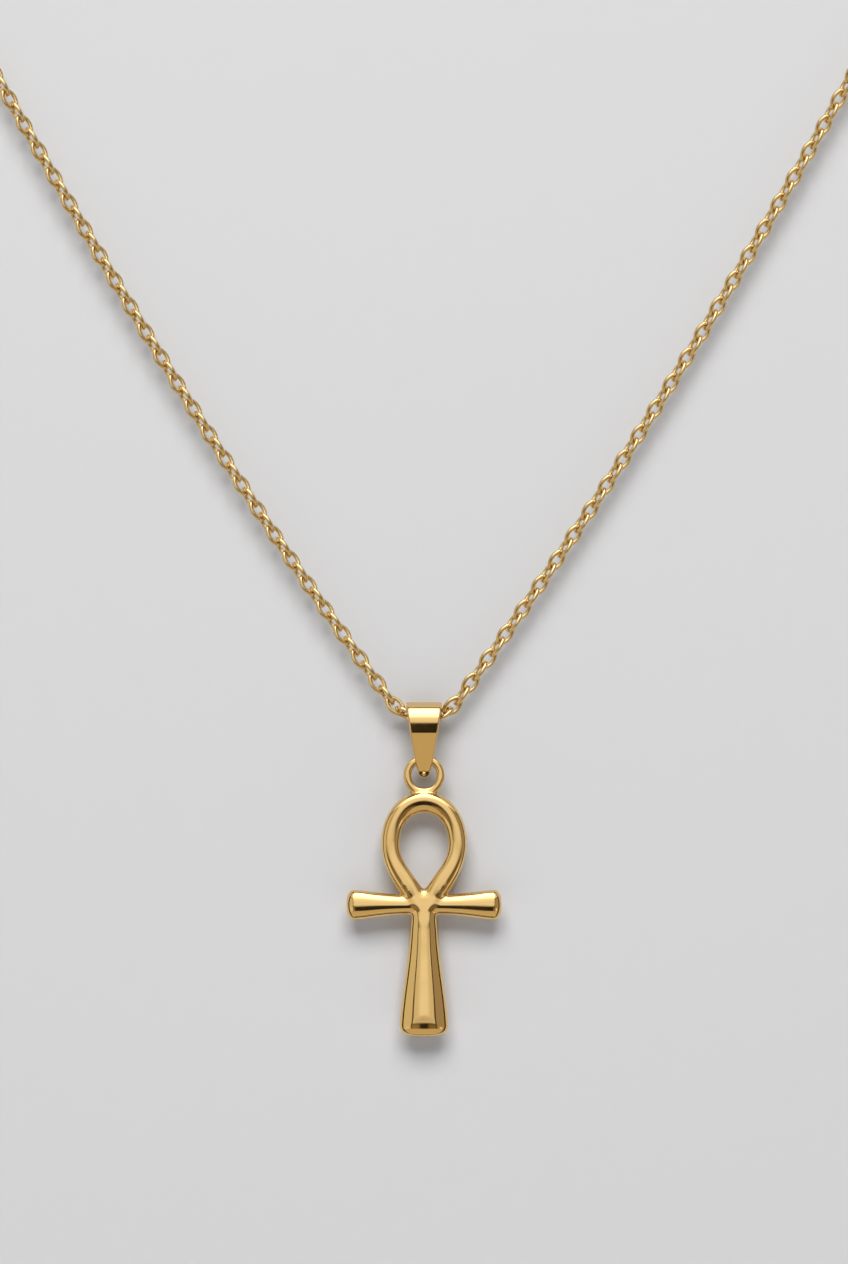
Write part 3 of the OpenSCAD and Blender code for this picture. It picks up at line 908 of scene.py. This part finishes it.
@dataclass
class Studio:
    """Backdrop, floor, lights, reflected panels and the camera.

    Lengths are in millimetres, apart from the lamp's, which are in metres. The even light that the
    board gets is ambient, seen is what lies past the board, and gap_colour is what the gold
    reflects between the panels.
    """

    centre_lift: float = 11.7
    camera_distance: float = 3000.0
    frame_height: float = 164.2
    backdrop_gap: float = 2.95
    board_room: float = 0.4
    boards: list[bpy.types.Object] = field(default_factory=list)
    backdrop_top: float = 300.0
    floor_drop: float = 330.0
    cove: float = 60.0
    half_width: float = 900.0
    floor_depth: float = 1200.0
    wall_colour: tuple[float, float, float] = (0.78, 0.78, 0.79)
    ambient: tuple[float, float, float] = (0.08, 0.08, 0.082)
    seen: tuple[float, float, float] = (0.7, 0.7, 0.71)
    gap_colour: tuple[float, float, float] = (0.03, 0.024, 0.018)
    lamp_size: tuple[float, float] = (0.8, 0.58)
    lamp_place: tuple[float, float, float] = (-0.03, -0.85, 0.72)
    lamp_energy: float = 10.15
    lamp_colour: tuple[float, float, float] = (1.0, 0.995, 0.985)
    panels: tuple[Panel, ...] = (
        Panel("front", -27, 27, -3.5, 31, (0.74, 0.69, 0.58), 2.0, 7.0),
        Panel("front_middle", -12, 12, -1.0, 31, (0.95, 0.93, 0.89), 12.0, 5.0),
        Panel("front_top", -27, 27, 15, 31, (1.12, 1.09, 1.0), 2.0, 12.0),
        Panel("overhead_sides", -75, 75, 31, 60, (1.0, 0.95, 0.85), 4.0, 5.0),
        Panel("overhead", -38, 38, 29, 79, (1.9, 1.85, 1.75), 6.0, 5.0),
        Panel("overhead_middle", -36, 36, 44, 74, (3.6, 3.6, 3.6), 8.0, 26.0),
        Panel("left_side", -75, -31.5, -28, 28, (0.7, 0.65, 0.51)),
        Panel("right_side", 31.5, 75, -28, 28, (0.38, 0.32, 0.24)),
        Panel("left_low", -60, -38, -25, -12, (0.9, 0.8, 0.62), 12.0, 10.0),
        Panel("right_low", 42, 60, -26, -14, (1.1, 0.92, 0.66), 10.0, 8.0),
        Panel("low_left", -29, -9, -30, -7, (0.3, 0.23, 0.13), 8.0, 8.0),
        Panel("low_right", 9, 29, -30, -7, (0.22, 0.16, 0.09), 8.0, 8.0),
        Panel("floor", -72, 72, -78, -28, (0.6, 0.52, 0.36), 4.0, 5.0),
        Panel("floor_near", -72, 72, -78, -62, (0.42, 0.36, 0.25), 4.0, 4.0),
        Panel("floor_edge", -72, 72, -62, -57, (0.8, 0.74, 0.56), 4.0, 3.0),
    )

    def camera(self) -> None:
        """Puts the camera level with the pendant, as far off as the photo's flat view asks."""
        data = bpy.data.cameras.new("camera")
        data.sensor_fit = "AUTO"
        data.sensor_width = 36.0
        data.lens = data.sensor_width * self.camera_distance / self.frame_height
        data.clip_start = 0.01
        data.clip_end = 20.0
        camera = placed("camera", data)
        level = joint_height("bail_swing") + self.centre_lift
        camera.location = (0, -self.camera_distance * MM, level * MM)
        camera.rotation_euler = (math.pi / 2, 0, 0)
        bpy.context.scene.camera = camera

    def board(self, name: str, profile: Sequence[tuple[float, float]],
              material: bpy.types.Material) -> bpy.types.Object:
        """Makes a stretch of board across the studio.

        Args:
            name: its name.
            profile: places on it, as Y and Z in millimetres.
            material: its material.

        Returns:
            The stretch of board, marked as no part of the pendant.
        """
        verts = [(side * self.half_width * MM, y * MM, z * MM) for y, z in profile for side in (-1, 1)]
        faces = [(2 * k, 2 * k + 2, 2 * k + 3, 2 * k + 1) for k in range(len(profile) - 1)]
        mesh = bpy.data.meshes.new(name)
        mesh.from_pydata(verts, [], faces)
        mesh.shade_smooth()
        mesh.materials.append(material)
        made = placed(name, mesh)
        self.boards.append(made)
        return made

    def backdrop(self) -> None:
        """Makes the wall behind the pendant, and the floor that it curves into.

        The gold reflects the painted studio in place of the floor.
        """
        corner = -self.floor_drop + self.cove
        material = self.wall_material()
        ends = [(self.backdrop_gap, self.backdrop_top), (self.backdrop_gap, corner)]
        self.board("backdrop", ends, material)
        bend = [
            (self.backdrop_gap - self.cove * (1 - math.cos(turn)), corner - self.cove * math.sin(turn))
            for turn in np.linspace(0, math.pi / 2, 24)]
        floor = self.board("floor", [*bend, (-self.floor_depth, -self.floor_drop)], material)
        floor.visible_glossy = False

    def stand_clear(self, pieces: Sequence[bpy.types.Object]) -> None:
        """Has the boards stand back where the pendant swings towards them.

        Args:
            pieces: the pieces that swing.
        """
        tree, net = geometry_tree("Stand clear")
        back = self.backdrop_gap * MM
        for piece in pieces:
            info = net.add("GeometryNodeObjectInfo", {"Object": piece}, transform_space="RELATIVE")
            box = net.add("GeometryNodeBoundBox", {"Geometry": info.outputs["Geometry"]})
            reach = net.add("ShaderNodeSeparateXYZ", {0: box.outputs["Max"]}).outputs["Y"]
            back = net.math("MAXIMUM", net.math("ADD", reach, self.board_room * MM), back)
        shift = net.add("ShaderNodeCombineXYZ", {
            "Y": net.math("SUBTRACT", back, self.backdrop_gap * MM)})
        moved = net.add("GeometryNodeSetPosition", {
            "Geometry": net.add("NodeGroupInput").outputs["Geometry"], "Offset": shift.outputs[0]})
        net.add("NodeGroupOutput", {"Geometry": moved.outputs[0]})
        for board in self.boards:
            board.modifiers.new("Stand clear", "NODES").node_group = tree

    def wall_material(self) -> bpy.types.Material:
        """Matt pale grey board, which lets the pendant be seen from behind."""
        made = bpy.data.materials.new("pale_board")
        net = blank_net(made)
        board = net.add("ShaderNodeBsdfPrincipled", {
            "Base Color": (*self.wall_colour, 1), "Roughness": 0.9, "Specular IOR Level": 0.1})
        clear = net.add("ShaderNodeBsdfTransparent")
        behind = net.add("ShaderNodeNewGeometry").outputs["Backfacing"]
        mixed = net.add("ShaderNodeMixShader", {0: behind, 1: board.outputs[0], 2: clear.outputs[0]})
        net.add("ShaderNodeOutputMaterial", {"Surface": mixed.outputs[0]})
        return made

    def panel_group(self) -> bpy.types.NodeTree:
        """Mask of a panel with soft edges, from a direction's two angles."""
        edges = ("Left", "Right", "Bottom", "Top", "Side Soft", "Level Soft")
        group, net = new_group(
            "Panel", {"Azimuth": 0.0, "Elevation": 0.0, **{edge: 0.0 for edge in edges}},
            {"Mask": "NodeSocketFloat"})
        given = net.add("NodeGroupInput").outputs
        inside = []
        for angle, low, high, soft in (
                ("Azimuth", "Left", "Right", "Side Soft"), ("Elevation", "Bottom", "Top", "Level Soft")):
            for value in (
                    net.math("SUBTRACT", given[angle], given[low]),
                    net.math("SUBTRACT", given[high], given[angle])):
                share = net.math("ADD", net.math("DIVIDE", value, given[soft]), 0.5)
                inside.append(net.add("ShaderNodeMapRange", {
                    "Value": share}, interpolation_type="SMOOTHSTEP").outputs["Result"])
        mask = inside[0]
        for other in inside[1:]:
            mask = net.math("MULTIPLY", mask, other)
        net.add("NodeGroupOutput", {"Mask": mask})
        return group

    def world(self) -> None:
        """Paints the studio that the gold reflects, and the even light that the board gets."""
        world = bpy.data.worlds.new("studio")
        net = blank_net(world)
        towards = net.add("ShaderNodeSeparateXYZ", {
            0: net.add("ShaderNodeTexCoord").outputs["Generated"]}).outputs
        degree = 180 / math.pi
        azimuth = net.math("MULTIPLY", net.math(
            "ARCTAN2", towards["X"], net.math("ABSOLUTE", towards["Y"])), degree)
        elevation = net.math("MULTIPLY", net.math("ARCSINE", towards["Z"]), degree)
        group = self.panel_group()
        colour = net.add("ShaderNodeRGB").outputs[0]
        colour.default_value = (*self.gap_colour, 1)
        for panel in self.panels:
            mask = net.add(
                "ShaderNodeGroup", {"Azimuth": azimuth, "Elevation": elevation, **panel.edges()},
                node_tree=group, label=panel.name)
            colour = net.mix(mask.outputs["Mask"], colour, (*panel.colour, 1))
        path = net.add("ShaderNodeLightPath").outputs
        plain = net.mix(path["Is Camera Ray"], (*self.ambient, 1), (*self.seen, 1))
        mirrored = net.math(
            "MULTIPLY", path["Is Glossy Ray"], net.math("LESS_THAN", path["Diffuse Depth"], 0.5))
        shown = net.mix(mirrored, plain, colour)
        light = net.add("ShaderNodeBackground", {"Color": shown, "Strength": 1.0})
        net.add("ShaderNodeOutputWorld", {"Surface": light.outputs[0]})
        bpy.context.scene.world = world

    def key_light(self) -> None:
        """Soft box above the front, which throws the short shadows on the board."""
        data = bpy.data.lights.new("softbox", "AREA")
        data.shape = "RECTANGLE"
        data.size, data.size_y = self.lamp_size
        data.energy = self.lamp_energy
        data.color = self.lamp_colour
        lamp = placed("softbox", data)
        across, deep, lift = self.lamp_place
        lamp.location = (across, deep, joint_height("ankh_swing") * MM + lift)
        lamp.rotation_euler = (math.atan2(-deep, lift), 0, 0)
        lamp.visible_glossy = False

    def build(self) -> None:
        """Builds the whole studio."""
        self.camera()
        self.backdrop()
        self.world()
        self.key_light()
        bpy.context.scene.view_settings.view_transform = "Standard"


def dress_clasp(material: bpy.types.Material) -> bpy.types.Object:
    """Gives the clasp, which keeps its solid, the chain's finish.

    Args:
        material: the chain's finish.

    Returns:
        The clasp.
    """
    clasp = frame["nodes"]["clasp"]
    clasp.data.materials.clear()
    clasp.data.materials.append(material)
    return clasp


def main() -> None:
    """Builds the studio and every piece, in order."""
    logging.basicConfig(level=logging.INFO, format="%(message)s")
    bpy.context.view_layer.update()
    studio = Studio()
    studio.build()
    plating, polish = plating_group(), polish_group()
    casting_gold = GoldFinish(
        "cast_gold", gold=(0.87, 0.61, 0.27), deep_gold=(0.8, 0.52, 0.2), least_roughness=0.05,
        most_roughness=0.13, haze_scale=420.0, ripple=0.12, ripple_scale=190.0, bump=0.4)
    strip_gold = GoldFinish(
        "strip_gold", gold=(0.86, 0.6, 0.26), deep_gold=(0.8, 0.52, 0.2), least_roughness=0.06,
        most_roughness=0.15, haze_scale=500.0, ripple=0.08, ripple_scale=240.0, bump=0.4)
    chain_gold = GoldFinish(
        "wire_gold", gold=(0.84, 0.63, 0.32), deep_gold=(0.66, 0.45, 0.19), least_roughness=0.08,
        most_roughness=0.18, haze_scale=900.0, ripple=0.15, ripple_scale=600.0, bump=0.5)
    wire_finish = chain_gold.material(plating, polish)
    chain = Chain()
    tree = chain.link_tree(wire_finish)
    pieces = [chain.build(side, tree) for side in Side]
    pieces.append(dress_clasp(wire_finish))
    pieces.append(Bail().build(strip_gold.material(plating, polish)))
    pieces.append(Ankh().build(casting_gold.material(plating, polish)))
    studio.stand_clear(pieces[-2:])
    for piece in pieces:
        LOG.info("%s: %d faces", piece.name, len(piece.data.polygons))


if __name__ == "__main__":
    main()
